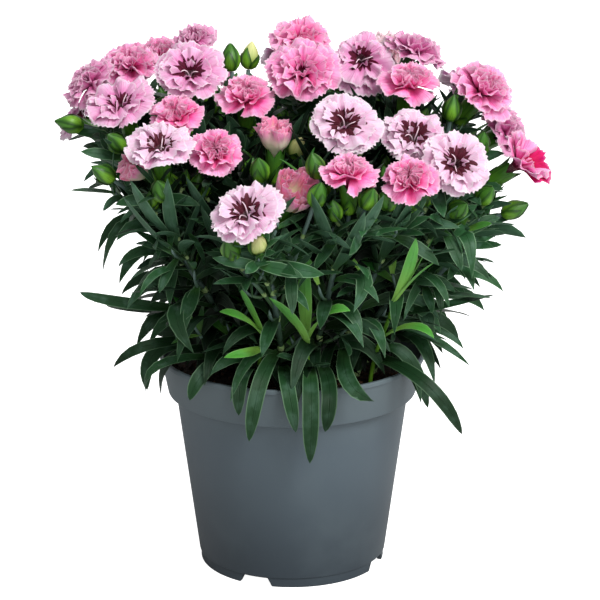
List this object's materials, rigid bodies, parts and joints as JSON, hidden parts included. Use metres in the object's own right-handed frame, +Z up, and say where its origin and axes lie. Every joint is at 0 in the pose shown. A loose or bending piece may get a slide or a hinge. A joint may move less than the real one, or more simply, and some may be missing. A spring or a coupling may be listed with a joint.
{
  "type": "potted dianthus plant",
  "caption": "Flowering pot carnation with double pink blooms, buds and narrow grey-green leaves, standing in a plain round plastic nursery pot.",
  "frame": {"origin": "the pot's axis at the plane that the pot rests on", "axes": "+Z up along the pot's axis, -Y towards the plant's front, +X to the right seen from the front"},
  "size_m": [0.2348, 0.2215, 0.2624],
  "materials": {
    "pot_plastic": "satin",
    "peat": "matte",
    "foliage": "satin",
    "young_foliage": "satin",
    "petals_open": "matte",
    "petals_double": "matte",
    "petals_opening": "matte"
  },
  "bodies": {
    "root": {"pot": "pot_plastic", "growing_medium": "peat", "bloom_01": "petals_double", "bloom_02": "petals_double", "bloom_03": "petals_open", "bloom_04": "petals_double", "bloom_05": "petals_double", "bloom_06": "petals_open", "bloom_07": "petals_double", "bloom_08": "petals_open", "bloom_09": "petals_open", "bloom_10": "petals_opening", "bloom_11": "petals_double", "bloom_12": "petals_double", "bloom_13": "petals_opening", "bloom_14": "petals_open", "bloom_15": "petals_opening", "bloom_16": "petals_open", "bloom_17": "petals_open", "bloom_18": "petals_open", "bloom_19": "petals_double", "bloom_20": "petals_double", "bloom_21": "petals_double", "bloom_22": "petals_open", "bloom_23": "petals_double", "bloom_24": "petals_open", "bloom_25": "petals_double", "bloom_26": "petals_open", "bloom_27": "petals_double", "bloom_28": "petals_double", "bloom_29": "petals_open", "bloom_30": "petals_open", "bloom_31": "petals_double", "bloom_32": "petals_open", "bloom_33": "petals_double", "bloom_34": "petals_open", "bloom_35": "petals_double", "stem_01": "foliage", "stem_02": "foliage", "stem_03": "foliage", "stem_04": "foliage", "stem_05": "foliage", "stem_06": "foliage", "stem_07": "foliage", "stem_08": "foliage", "stem_09": "foliage", "stem_10": "foliage", "stem_11": "foliage", "stem_12": "foliage", "stem_13": "foliage", "stem_14": "foliage", "stem_15": "foliage", "stem_16": "foliage", "stem_17": "foliage", "stem_18": "foliage", "stem_19": "foliage", "stem_20": "foliage", "shoot_01": "young_foliage", "shoot_02": "young_foliage", "shoot_03": "young_foliage"}
  },
  "joints": []
}
